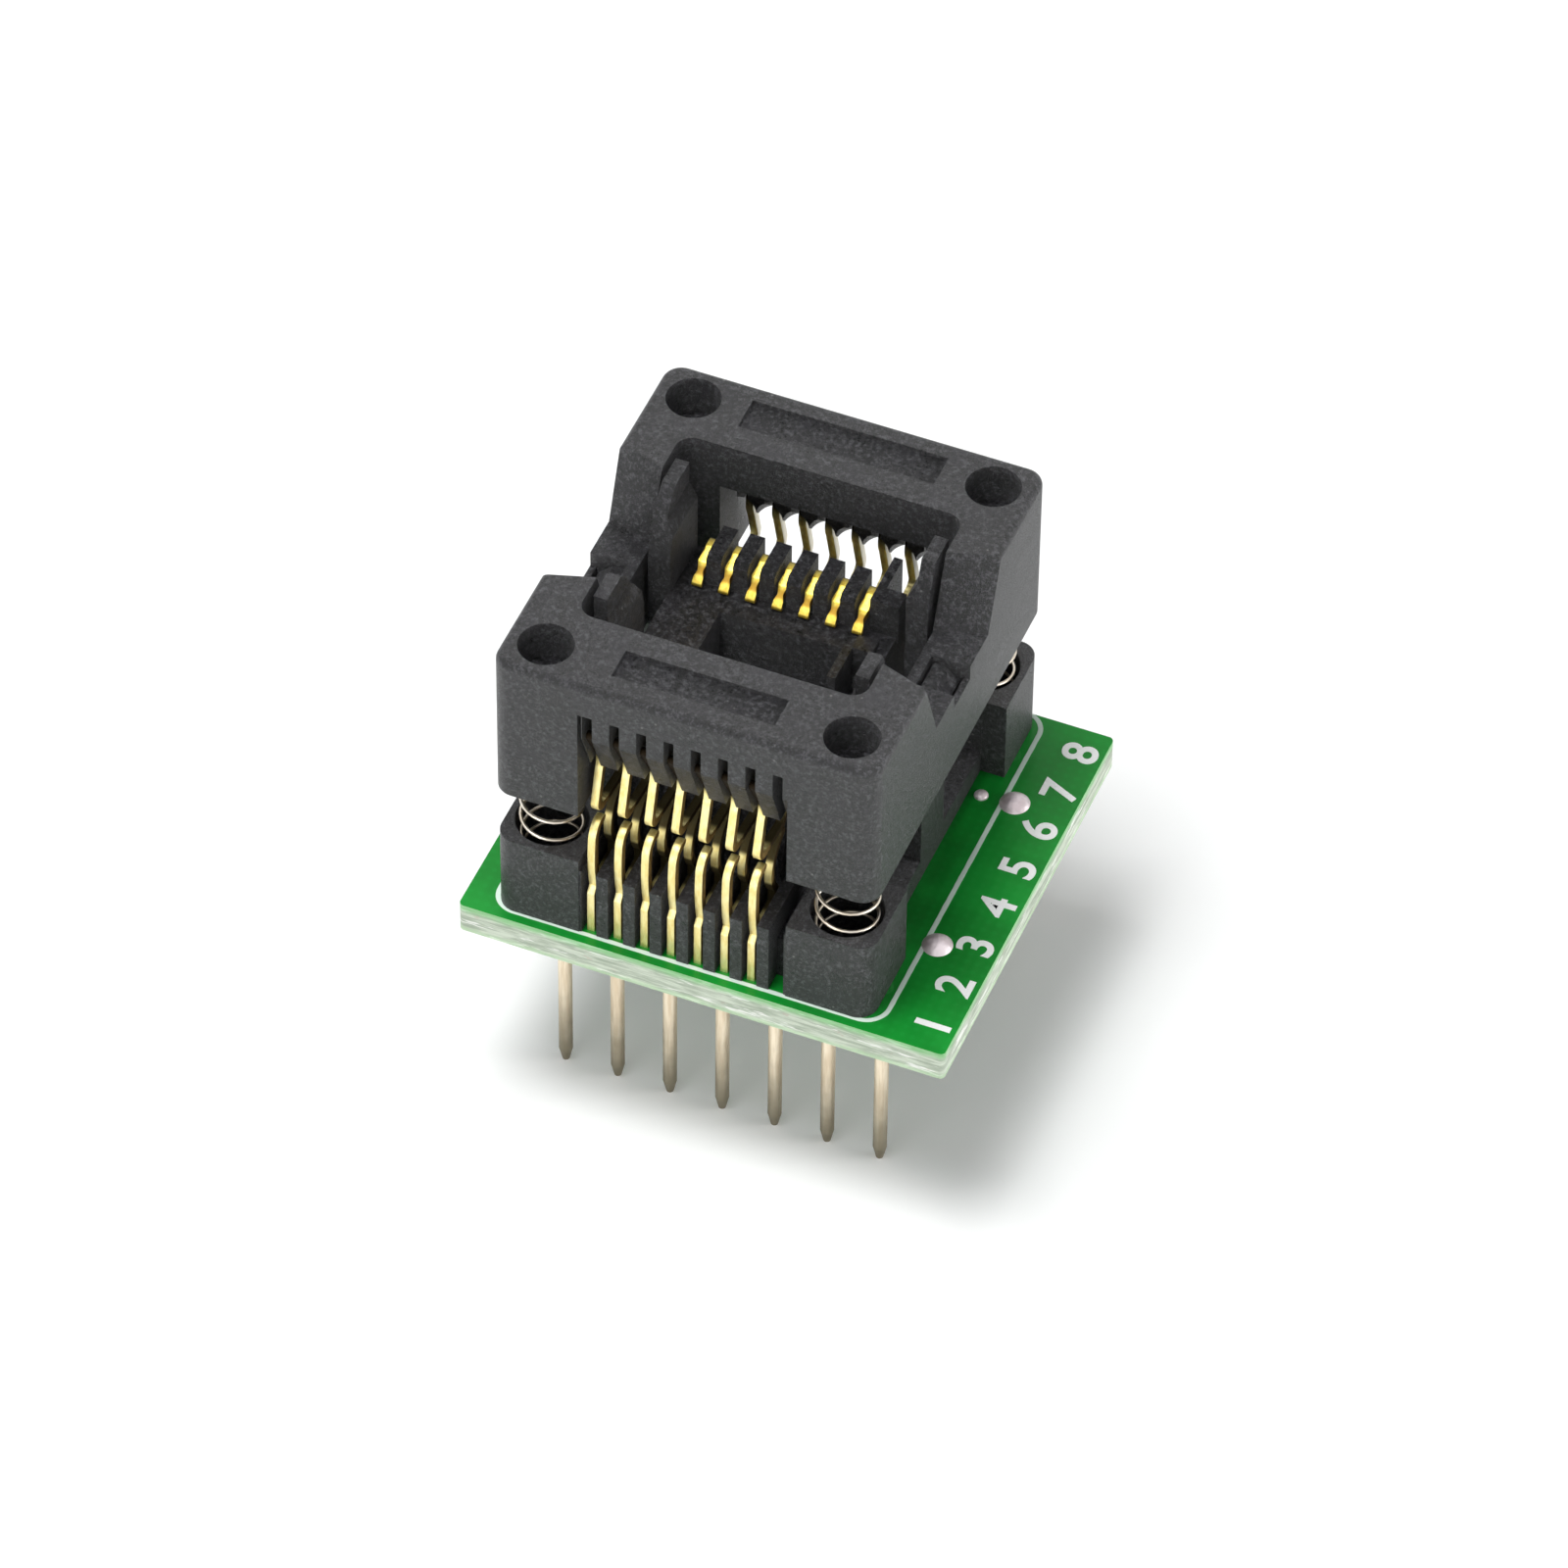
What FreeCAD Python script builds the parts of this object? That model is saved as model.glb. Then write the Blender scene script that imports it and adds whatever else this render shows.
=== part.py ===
import FreeCAD, Part
import math
import os
from FreeCAD import Vector

# All lengths are in millimetres and +Z is up.
# The origin is the middle of the board's footprint, at the height of the pin tips.
# The socket's own frame has its middle at socket_x, socket_y and z = 0 on the board's top.
# There u is the distance from the socket's middle plane towards its front or back face.

# Socket: one depth for its base and its cover
socket_depth = 20.1
window_width = 13.4
end_wall = 2.3
rim_depth = 4.1
contact_pitch = 1.27
contact_places = 8
contact_count = 7
sheet = 0.36

# Board
board_thickness = 1.6
board_corner_radius = 0.25
board_left_margin = 1.47
board_right_margin = 3.63
board_front_margin = 0.55
board_back_margin = 0.05

# Pins of the lower side, in two rows
pin_pitch = 2.54
pin_count = 7
pin_row_spacing = 15.24
pin_radius = 0.32
pin_drop = 9.65
pin_tip_length = 0.7
pin_tip_radius = 0.17
pin_root_half = 0.2
pin_hole_radius = 0.45
pin_pad_radius = 0.8
pin_solder_height = 0.7
pin_solder_lip = 0.05

# Round solder joints at the right edge
edge_joint_margin = 2.68
edge_joint_y = 4.65
edge_joint_radius = 0.7
edge_joint_rise = 0.35
edge_hole_radius = 0.5

# Cover
cover_top = 15.56
cover_corner_radius = 0.9
cover_edge_round = 0.35
window_corner_radius = 0.8
press_travel = 2.7
press_play = 0.24

# Base
base_setback = 0.05
base_corner_radius = 0.9
block_top = 4.48
block_depth = 4.15
floor_top = 1.2
column_overlap = 0.18

# Springs and their pockets
spring_end_setback = 2.0
spring_face_setback = 2.0
spring_outer_radius = 1.47
spring_wire_radius = 0.11
spring_active_turns = 5.5
spring_closed_turns = 1.0
spring_play = 0.05
pocket_radius = 1.65
base_pocket_depth = 2.6
cover_pocket_depth = 2.5

# Fixed foot of a contact
tail_setback = 0.47
tail_width = 0.4
tail_jog = 0.28
tail_jog_z = 2.3
tail_jog_rise = 0.35
tail_bow = 0.2
tail_bow_z = 4.7
tail_bend_z = 5.5
tail_drop = 0.9
tail_hole_radius = 0.3
tail_pad_radius = 0.5
tail_solder_height = 0.5
stop_z = 6.2
stop_setback = 1.1
stop_length = 0.3
bar_bottom = 2.38
bar_top = 2.83

# Beam from the foot's bar to the hinge point of the bending arm
pivot_setback = 3.45
pivot_z = 6.45
pivot_radius = 0.25
pivot_play = 0.06
beam_width = 0.36
beam_root = 0.7
beam_belly = 1.12
beam_knee_z = 3.6
beam_belly_z = 4.85
beam_shoulder = 0.45
beam_shoulder_drop = 0.35

# Bending arm of a contact
lever_width = 0.4
lever_lip_setback = 0.49
lever_lip_z = 12.25
lever_knee_setback = 0.83
lever_knee_z = 11.6
lever_neck_setback = 1.43
lever_neck_z = 10.5
lever_bow = 0.15
lever_waist_z = 9.3
lever_heel_setback = 0.96
lever_heel_z = 7.6
heel_run = 0.64
heel_z = 7.08
bridge_rise = 0.45
limb_width = 0.32
limb_run = 0.4
limb_rise = 0.7
crest_u = 4.12
crest_z = 11.38
crest_reach = 0.4
crest_fall = 0.35
touch_u = 2.98
touch_z = 11.13
tip_u = 2.32
tip_play = 0.05

# Comb of the base round the contact feet
comb_slot = 0.7
comb_setback = 0.05
comb_top = 3.87
gate_play = 0.1

# Tower of the base
tower_left_x = 5.5
tower_right_x = 4.82
tower_shoulder_z = 4.5
tower_batter = 0.6
seat_z = 10.3
seat_half_depth = 2.6
seat_ledge = 0.15
fin_slot = 0.56
fin_top = 12.05
fin_chamfer = 0.25
fin_setback = 1.3
fin_heel_z = 8.0
well_half_width = 2.92
well_half_depth = 1.25

# Right end of the tower, beside the unused eighth contact place
bar_near_u = 3.0
bar_far_u = 3.95
bar_block_top = 11.95
bar_inner_reach = 0.8
rib_width = 0.41
rib_setback = 0.1
strip_width = 0.41
strip_rise = 0.15
strip_near_y = -0.7
strip_lap = 0.2
slit_width = 0.67
slit_depth = 2.3
step_depth = 0.9
facet_near_y = -0.27
ledge_width = 0.95
ledge_depth = 0.85
ledge_rise = 0.25

# Guide posts
post_play = 0.25
post_foot_width = 1.05
post_head_width = 0.65
post_depth = 1.55
post_shoulder = 13.45
post_relief_rise = 0.75
post_top = 15.4
right_post_step = 0.75
left_post_step = 1.6
left_post_bulge = 0.55
left_post_shoulder = 12.0

# Latch hooks of the base and their slots in the cover
window_wall = 0.5
hook_thickness = 0.55
hook_half_width = 0.85
hook_nose = 0.7
hook_under = 10.45
hook_nose_height = 0.5
hook_top = 11.6
hook_chamfer = 0.1
hook_play = 0.1
catch_top = 10.35
hook_foot_top = 4.2
hook_foot_margin = 0.5
lip_top = 11.1
lip_thickness = 0.3
rail_setback = 0.3
rail_thickness = 0.7
rail_top = 3.2

# Comb of the cover
bar_under = 13.0
web_face_setback = 0.95
web_depth = 1.55
web_root_run = 0.1
web_bottom = 10.0
web_face_bottom = 12.45
lever_slot = 0.46
lever_slot_top = 13.8
lever_slot_slope = 1.05
scallop_rise = 1.05
scallop_lap = 0.01
column_slit = 0.18

# Saddles of the cover's end walls
saddle_inner_half = 3.65
saddle_outer_half = 4.4
saddle_floor_inner_half = 2.25
saddle_floor_outer_half = 3.05
saddle_floor_z = 11.9

# Blind holes and bare label recesses of the cover's top
blind_hole_end_setback = 1.88
blind_hole_face_setback = 1.83
blind_hole_radius = 1.25
blind_hole_depth = 2.05
label_depth = 0.22
back_label_half_width = 4.65
back_label_setback = 0.95
back_label_depth = 1.75
front_label_half_width = 3.8
front_label_setback = 1.2
front_label_depth = 1.61

# Worked out from the sizes above
face_u = socket_depth / 2
window_half = window_width / 2
window_u = face_u - rim_depth
end_x = window_half + end_wall
socket_x = (board_left_margin - board_right_margin) / 2
socket_y = (board_front_margin - board_back_margin) / 2
board_width = 2 * end_x + board_left_margin + board_right_margin
board_depth = socket_depth + board_front_margin + board_back_margin
board_top = pin_drop + board_thickness
cover_bottom = block_top + press_travel + press_play
column_inner = contact_places * contact_pitch / 2 - column_overlap
tail_u = face_u - tail_setback
neck_u = tail_u - tail_jog
pivot_u = face_u - pivot_setback
tower_foot_u = pivot_u - 1.0
fin_outer_u = window_u - fin_setback
post_outer_x = window_half - post_play
post_foot_x = post_outer_x - post_foot_width
post_head_x = post_outer_x - post_head_width
post_far_u = window_u - fin_setback - 0.05
post_head_near_u = post_far_u - post_depth
hook_inner_x = window_half + window_wall + hook_play
hook_outer_x = hook_inner_x + hook_thickness
web_far_u = face_u - web_face_setback
web_near_u = web_far_u - web_depth
web_root_u = web_near_u - web_root_run
spring_x = end_x - spring_end_setback
spring_y = face_u - spring_face_setback
beyond = 1.0


def box(x0, x1, y0, y1, z0, z1):
    return Part.makeBox(x1 - x0, y1 - y0, z1 - z0, Vector(x0, y0, z0))


def plate(width, depth, radius, z0, z1):
    """A plate with round vertical corners, centred on the Z axis."""
    body = box(-width / 2, width / 2, -depth / 2, depth / 2, z0, z1)
    upright = [edge for edge in body.Edges if edge.BoundBox.ZLength > (z1 - z0) / 2]
    return body.makeFillet(radius, upright)


def profile_uz(points, x0, x1):
    """A straight-edged outline in the plane of y and z, as thick as x0 to x1."""
    return slab(line(*(points + points[:1])), x0, x1)


def profile_xz(points, y0, y1):
    """A straight-edged outline in the plane of x and z, as deep as y0 to y1."""
    corners = [Vector(x, y0, z) for x, z in points]
    face = Part.Face(Part.makePolygon(corners + corners[:1]))
    return face.extrude(Vector(0, y1 - y0, 0))


def rod(radius, x, y, z0, z1):
    return Part.makeCylinder(radius, z1 - z0, Vector(x, y, z0))


def turned(points, x, y):
    """A body turned round a vertical axis, from points of radius and height."""
    corners = [Vector(r, 0, z) for r, z in points]
    face = Part.Face(Part.makePolygon(corners + corners[:1]))
    body = face.revolve(Vector(0, 0, 0), Vector(0, 0, 1), 360)
    body.translate(Vector(x, y, 0))
    return body


def front_of(shape):
    return shape.mirror(Vector(0, 0, 0), Vector(0, 1, 0))


def left_of(shape):
    return shape.mirror(Vector(0, 0, 0), Vector(1, 0, 0))


def both_ends(shape):
    return [shape, left_of(shape)]


def both_rows(shape):
    return [shape, front_of(shape)]


def four_corners(shape):
    return both_rows(shape) + both_rows(left_of(shape))


def place_of(index):
    """The x of a contact place, counted from the left."""
    return (index - (contact_places - 1) / 2) * contact_pitch


def line(*points):
    corners = [Vector(0, u, z) for u, z in points]
    return [Part.LineSegment(a, b).toShape() for a, b in zip(corners, corners[1:])]


def arc(start, middle, end):
    return [Part.Arc(*[Vector(0, u, z) for u, z in (start, middle, end)]).toShape()]


def slab(edges, x0, x1):
    """A closed outline of lines and arcs in the plane of y and z, as thick as x0 to x1."""
    body = Part.Face(Part.Wire(edges)).extrude(Vector(x1 - x0, 0, 0))
    body.translate(Vector(x0, 0, 0))
    return body


def band(edges, width, x):
    """A strip of sheet metal of even width along a path, centred on x."""
    outline = Part.Wire(edges).makeOffset2D(width / 2, join=0, fill=False)
    return slab(outline.Edges, x - sheet / 2, x + sheet / 2)


def save(shape, name, x=0.0, y=0.0, z=0.0):
    """Writes a piece as a file, moved from its own frame to the part's frame."""
    placed = shape.copy()
    placed.translate(Vector(x, y, z))
    placed.exportStep("parts/" + name + ".step")


def save_on_socket(shape, name):
    save(shape, name, socket_x, socket_y, board_top)


def pin_places():
    first = -(pin_count - 1) / 2 * pin_pitch
    for y in (-pin_row_spacing / 2, pin_row_spacing / 2):
        for index in range(pin_count):
            yield first + index * pin_pitch, y


def tail_places():
    for u in (-tail_u, tail_u):
        for index in range(contact_count):
            yield socket_x + place_of(index), socket_y + u


def edge_joint_places():
    for y in (-edge_joint_y, edge_joint_y):
        yield board_width / 2 - edge_joint_margin, socket_y + y


def make_board():
    board = plate(board_width, board_depth, board_corner_radius, -board_thickness, 0)
    holes = []
    for places, radius in ((pin_places(), pin_hole_radius), (tail_places(), tail_hole_radius),
                           (edge_joint_places(), edge_hole_radius)):
        for x, y in places:
            holes.append(rod(radius, x, y, -board_thickness - beyond, beyond))
    return board.cut(holes)


def make_pin(x, y):
    """A round pin on a thinner square root that passes through the board."""
    tip = -board_thickness - pin_drop
    shoulder = -board_thickness - pin_solder_height
    outline = [(0, tip), (pin_tip_radius, tip), (pin_radius, tip + pin_tip_length), (pin_radius, shoulder),
               (0, shoulder)]
    return turned(outline, x, y).fuse(make_pin_root(x, y, 0))


def make_pin_root(x, y, top):
    return box(x - pin_root_half, x + pin_root_half, y - pin_root_half, y + pin_root_half,
               -board_thickness - pin_solder_height, top)


def make_pin_solder():
    under = -board_thickness
    outline = [(0, under - pin_solder_height), (pin_radius + pin_solder_lip, under - pin_solder_height),
               (pin_pad_radius, under), (pin_hole_radius, under), (pin_hole_radius, 0), (0, 0)]
    return Part.makeCompound([turned(outline, x, y).cut(make_pin_root(x, y, beyond)) for x, y in pin_places()])


def make_tail_solder():
    under = -board_thickness
    outline = [(0, under - tail_solder_height), (tail_hole_radius, under - tail_solder_height),
               (tail_pad_radius, under), (tail_hole_radius, under), (tail_hole_radius, 0), (0, 0)]
    joints = []
    for x, y in tail_places():
        leg = box(x - sheet / 2, x + sheet / 2, y - tail_width / 2, y + tail_width / 2,
                  under - tail_drop - beyond, beyond)
        joints.append(turned(outline, x, y).cut(leg))
    return Part.makeCompound(joints)


def make_edge_solder():
    ball_radius = (edge_joint_radius ** 2 + edge_joint_rise ** 2) / (2 * edge_joint_rise)
    joints = []
    for x, y in edge_joint_places():
        barrel = rod(edge_hole_radius, x, y, -board_thickness, 0)
        cap = Part.makeSphere(ball_radius, Vector(x, y, edge_joint_rise - ball_radius))
        top = cap.common(rod(edge_joint_radius, x, y, 0, beyond))
        bottom = top.mirror(Vector(0, 0, -board_thickness / 2), Vector(0, 0, 1))
        joints.append(barrel.fuse([top, bottom]).removeSplitter())
    return Part.makeCompound(joints)


def make_contact_foot(x):
    """The fixed foot of a contact of the back row: tail with its stop hook, bar and hinge beam."""
    side = sheet / 2
    leg = box(x - side, x + side, tail_u - tail_width / 2, tail_u + tail_width / 2,
              -board_thickness - tail_drop, tail_jog_z)
    neck_z = tail_jog_z + tail_jog_rise
    bend = (tail_u - tail_jog / 2, tail_bend_z)
    stop = (face_u - stop_setback, stop_z)
    bow = ((bend[0] + tail_u + 2 * stop[0]) / 4, (tail_bend_z + 3 * stop_z) / 4)
    tail = band(line((tail_u, tail_jog_z - tail_jog_rise), (tail_u, tail_jog_z), (neck_u, neck_z))
                + arc((neck_u, neck_z), (neck_u + tail_bow, tail_bow_z), bend) + arc(bend, bow, stop)
                + line(stop, (stop[0] - stop_length, stop_z)), tail_width, x)
    bar = box(x - side, x + side, pivot_u - gate_play, neck_u - gate_play, bar_bottom, bar_top)
    knee = (pivot_u + beam_root, beam_knee_z)
    shoulder = (pivot_u + beam_shoulder, pivot_z - beam_shoulder_drop)
    beam = band(line((knee[0], bar_bottom + beam_width / 2), knee)
                + arc(knee, (pivot_u + beam_belly, beam_belly_z), shoulder)
                + line(shoulder, (pivot_u, pivot_z)), beam_width, x)
    eye = Part.makeCylinder(pivot_radius, sheet, Vector(x - side, pivot_u, pivot_z), Vector(1, 0, 0))
    return leg.fuse([tail, bar, beam, eye]).removeSplitter()


def make_contact_arm(x):
    """The bending arm of a contact of the back row: lever, bridge over the hinge, limb and tip."""
    lip = (face_u - lever_lip_setback, lever_lip_z)
    knee = (face_u - lever_knee_setback, lever_knee_z)
    neck = (face_u - lever_neck_setback, lever_neck_z)
    waist = (neck[0], lever_waist_z)
    bow = (neck[0] - lever_bow, (lever_neck_z + lever_waist_z) / 2)
    heel = (face_u - lever_heel_setback, lever_heel_z)
    heel_end = (heel[0] - heel_run, heel_z)
    heel_bend = (heel[0] - heel_run / 4, (lever_heel_z + 2 * heel_z) / 3)
    saddle = (pivot_u, pivot_z + bridge_rise)
    limb_foot = (pivot_u - limb_run, pivot_z + limb_rise)
    crest_end = (crest_u - crest_reach, crest_z)
    limb_head = (crest_u + crest_reach / 2, crest_z - crest_fall)
    tip = (tip_u, seat_z + tip_play + limb_width / 2)
    lever = band(line(lip, knee, neck) + arc(neck, bow, waist) + line(waist, heel)
                 + arc(heel, heel_bend, heel_end), lever_width, x)
    limb = band(line(heel_end, saddle, limb_foot, limb_head, (crest_u, crest_z), crest_end,
                     (touch_u, touch_z), tip), limb_width, x)
    notch = Part.makeCylinder(pivot_radius + pivot_play, sheet + 2 * beyond,
                              Vector(x - sheet / 2 - beyond, pivot_u, pivot_z), Vector(1, 0, 0))
    return lever.fuse(limb).cut(notch).removeSplitter()


def make_spring():
    """A compression spring with one closed turn at each end, wound on the Z axis."""
    corners = 6
    steps = 10
    bottom = block_top - base_pocket_depth + spring_play + spring_wire_radius
    top = cover_bottom + cover_pocket_depth - spring_play - spring_wire_radius
    closed_pitch = 2.2 * spring_wire_radius
    closed_rise = spring_closed_turns * closed_pitch
    open_pitch = (top - bottom - 2 * closed_rise) / spring_active_turns
    turns = spring_active_turns + 2 * spring_closed_turns
    coil_radius = spring_outer_radius - spring_wire_radius
    sections = []
    for step in range(int(round(turns * steps)) + 1):
        turn = step / steps
        opened = min(max(turn - spring_closed_turns, 0), spring_active_turns)
        z = bottom + open_pitch * opened + closed_pitch * (turn - opened)
        angle = 2 * math.pi * turn
        ring = []
        for corner in range(corners):
            a = 2 * math.pi * corner / corners
            r = coil_radius + spring_wire_radius * math.cos(a)
            ring.append(Vector(r * math.cos(angle), r * math.sin(angle), z + spring_wire_radius * math.sin(a)))
        sections.append(Part.makePolygon(ring + ring[:1]))
    return Part.makeLoft(sections, True, True)


def make_base():
    width = 2 * (end_x - base_setback)
    outline = plate(width, socket_depth, base_corner_radius, 0, block_top)
    block_near = face_u - block_depth
    comb_u = face_u - comb_setback
    corner = box(column_inner, width, block_near, socket_depth, -beyond, block_top + beyond)
    blocks = [outline.common(piece) for piece in four_corners(corner)]
    floor = outline.common(box(-width, width, -comb_u, comb_u, 0, floor_top))
    combs = both_rows(box(-column_inner, column_inner, block_near, comb_u, 0, comb_top))
    rail_outer = end_x - rail_setback
    rails = both_ends(box(rail_outer - rail_thickness, rail_outer, -block_near, block_near, 0, rail_top))
    body = floor.fuse(blocks + combs + rails + [make_tower()] + make_posts() + make_hooks())
    pockets = four_corners(rod(pocket_radius, spring_x, spring_y, block_top - base_pocket_depth,
                               block_top + beyond))
    slots = []
    for index in range(contact_places):
        x = place_of(index)
        gate_u = neck_u - tail_width / 2 - gate_play
        bed = box(x - comb_slot / 2, x + comb_slot / 2, tower_foot_u, comb_u + beyond, bar_bottom, block_top)
        gate = box(x - comb_slot / 2, x + comb_slot / 2, gate_u, comb_u + beyond, -beyond, block_top)
        slots += both_rows(bed) + both_rows(gate)
    return body.cut(pockets + slots).removeSplitter()


def make_tower():
    """The tower that carries the chip, with a fin between each two contact tips."""
    ledge_u = seat_half_depth + seat_ledge
    shoulder_u = tower_foot_u - tower_batter
    core = [(-tower_foot_u, 0), (-shoulder_u, tower_shoulder_z), (-ledge_u, seat_z), (ledge_u, seat_z),
            (shoulder_u, tower_shoulder_z), (tower_foot_u, 0)]
    fin_outline = [(seat_half_depth, floor_top), (seat_half_depth, fin_top - fin_chamfer),
                   (seat_half_depth + fin_chamfer, fin_top), (fin_outer_u, fin_top), (fin_outer_u, fin_heel_z),
                   (tower_foot_u, bar_bottom), (tower_foot_u, floor_top)]
    cheek_outline = [(0, floor_top), (0, seat_z), (fin_outer_u, seat_z), (fin_outer_u, fin_heel_z),
                     (tower_foot_u, bar_bottom), (tower_foot_u, floor_top)]
    pieces = []
    for index in range(contact_count - 1):
        fin = profile_uz(fin_outline, place_of(index) + fin_slot / 2, place_of(index + 1) - fin_slot / 2)
        pieces += both_rows(fin)
    pieces += both_rows(profile_uz(cheek_outline, -tower_left_x, place_of(0) - fin_slot / 2))
    body = profile_uz(core, -tower_left_x, tower_right_x).fuse(pieces + make_end_place())
    return body.cut(make_end_cuts())


def make_end_place():
    """What stands at the right end of the tower: a cross bar and a rib in each row, a strip and a ledge."""
    rib_x = place_of(contact_count - 1) + fin_slot / 2
    end_u = window_u - rib_setback
    bar_block = box(place_of(contact_count) - bar_inner_reach, tower_right_x, bar_near_u, bar_far_u,
                    floor_top, bar_block_top)
    rib_outline = [(bar_near_u, floor_top), (bar_near_u, bar_block_top), (end_u, bar_block_top),
                   (end_u, fin_heel_z), (tower_foot_u, bar_bottom), (tower_foot_u, floor_top)]
    rib = profile_uz(rib_outline, rib_x, rib_x + rib_width)
    strip = box(well_half_width, well_half_width + strip_width, strip_near_y, well_half_depth + strip_lap,
                seat_z - beyond, seat_z + strip_rise)
    ledge_x = well_half_width + strip_width
    ledge = box(ledge_x, ledge_x + ledge_width, well_half_depth, well_half_depth + ledge_depth,
                seat_z - beyond, seat_z + ledge_rise)
    return both_rows(bar_block) + both_rows(rib) + [strip, ledge]


def make_end_cuts():
    """The well of the tower, and the slit and the step beside it."""
    slit_x = well_half_width + strip_width
    facet_x = slit_x + slit_width
    above = seat_z + beyond
    well = box(-well_half_width, well_half_width, -well_half_depth, well_half_depth, floor_top, above)
    slit = box(slit_x, facet_x, -well_half_depth, well_half_depth, seat_z - slit_depth, above)
    step = box(well_half_width - beyond, tower_right_x + beyond, -well_half_depth, strip_near_y,
               seat_z - step_depth, above)
    notch = box(facet_x - beyond / 2, tower_right_x + beyond, -well_half_depth, facet_near_y,
                seat_z - step_depth, above)
    return [well, slit, step, notch]


def make_posts():
    """The four guide posts: those at the right taper straight, those at the left in a curve."""
    right_near_u = post_head_near_u - right_post_step
    right_post = profile_uz([(right_near_u, 0), (right_near_u, post_shoulder), (post_head_near_u, post_top),
                             (post_far_u, post_top), (post_far_u, 0)], post_foot_x, post_outer_x)
    near_u = post_head_near_u - left_post_step
    foot = (near_u, left_post_shoulder)
    head = (post_head_near_u, post_top)
    bulge = ((near_u + post_head_near_u - left_post_bulge) / 2,
             (left_post_shoulder + post_top + left_post_bulge) / 2)
    outline = line((near_u, 0), foot) + arc(foot, bulge, head)
    outline += line(head, (post_far_u, post_top), (post_far_u, 0), (near_u, 0))
    left_post = left_of(slab(outline, post_foot_x, post_outer_x))
    relief_z = post_shoulder + post_relief_rise
    relief = profile_xz([(post_foot_x - beyond, post_shoulder - hook_chamfer), (post_foot_x, post_shoulder),
                         (post_head_x, relief_z), (post_head_x, post_top + beyond),
                         (post_foot_x - beyond, post_top + beyond)], 0, post_far_u + beyond)
    return both_rows(right_post.cut(relief)) + both_rows(left_post.cut(left_of(relief)))


def make_hooks():
    nose_x = hook_outer_x + hook_nose
    outline = [(hook_inner_x, 0), (hook_inner_x, hook_top - hook_chamfer),
               (hook_inner_x + hook_chamfer, hook_top), (hook_outer_x, hook_top),
               (nose_x, hook_under + hook_nose_height), (nose_x, hook_under),
               (hook_outer_x, hook_under), (hook_outer_x, 0)]
    hook = profile_xz(outline, -hook_half_width, hook_half_width)
    foot_half = hook_half_width + hook_foot_margin
    foot = box(post_foot_x, end_x - rail_setback, -foot_half, foot_half, 0, hook_foot_top)
    return both_ends(hook.fuse(foot))


def make_cover():
    body = plate(2 * end_x, socket_depth, cover_corner_radius, cover_bottom, cover_top)
    top_rim = [edge for edge in body.Edges if edge.BoundBox.ZMin > cover_top - 0.01]
    body = body.makeFillet(cover_edge_round, top_rim)
    above = cover_top + beyond
    cuts = [plate(window_width, 2 * window_u, window_corner_radius, cover_bottom - beyond, above)]
    cuts += both_rows(make_comb_opening())
    cuts += make_lever_slots()
    cuts += make_scallops()
    cuts += both_ends(make_saddle())
    cuts += make_hook_slots()
    cuts += four_corners(rod(pocket_radius, spring_x, spring_y, cover_bottom - beyond,
                             cover_bottom + cover_pocket_depth))
    blind_hole_x = end_x - blind_hole_end_setback
    blind_hole_y = face_u - blind_hole_face_setback
    cuts += four_corners(rod(blind_hole_radius, blind_hole_x, blind_hole_y, cover_top - blind_hole_depth, above))
    back_far = face_u - back_label_setback
    front_far = face_u - front_label_setback
    cuts.append(box(-back_label_half_width, back_label_half_width, back_far - back_label_depth, back_far,
                    cover_top - label_depth, above))
    cuts.append(box(-front_label_half_width, front_label_half_width, -front_far, front_label_depth - front_far,
                    cover_top - label_depth, above))
    return body.cut(cuts).removeSplitter()


def make_comb_opening():
    """The space under the back bar, between the columns: the comb's webs hang into it."""
    inner_u = window_u - beyond
    outline = [(inner_u, cover_bottom - beyond), (inner_u, bar_under), (web_root_u, bar_under),
               (web_near_u, web_bottom), (web_far_u, web_bottom), (face_u, web_face_bottom),
               (face_u + beyond, web_face_bottom), (face_u + beyond, cover_bottom - beyond)]
    return profile_uz(outline, -column_inner, column_inner)


def make_lever_slots():
    """A slot for each contact place, and a narrow slit beside the left column."""
    root_u = web_root_u - beyond / 2
    slope_u = web_root_u + lever_slot_slope
    outline = [(root_u, cover_bottom), (root_u, bar_under), (web_root_u, bar_under), (slope_u, lever_slot_top),
               (face_u + beyond, lever_slot_top), (face_u + beyond, cover_bottom)]
    slots = both_rows(profile_uz(outline, -column_inner, -column_inner + column_slit))
    for index in range(contact_places):
        x = place_of(index)
        slots += both_rows(profile_uz(outline, x - lever_slot / 2, x + lever_slot / 2))
    return slots


def make_scallops():
    """Round hollows that run down and out under the comb, so that each web ends inside in a tooth."""
    radius = contact_pitch / 2 + scallop_lap
    run = 3 * beyond
    start_u = web_near_u - beyond
    start_z = web_bottom + scallop_rise - radius * math.sqrt(2) + beyond
    under = [(start_u, start_z), (start_u + run, start_z - run), (start_u, start_z - run)]
    hollows = []
    for index in range(contact_places):
        x = place_of(index)
        arch = Part.makeCylinder(radius, run * math.sqrt(2), Vector(x, start_u, start_z), Vector(0, 1, -1))
        hollows += both_rows(arch) + both_rows(profile_uz(under, x - radius, x + radius))
    between = box(-column_inner, column_inner, -face_u, face_u, cover_bottom, bar_under)
    return [hollow.common(between) for hollow in hollows]


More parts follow.
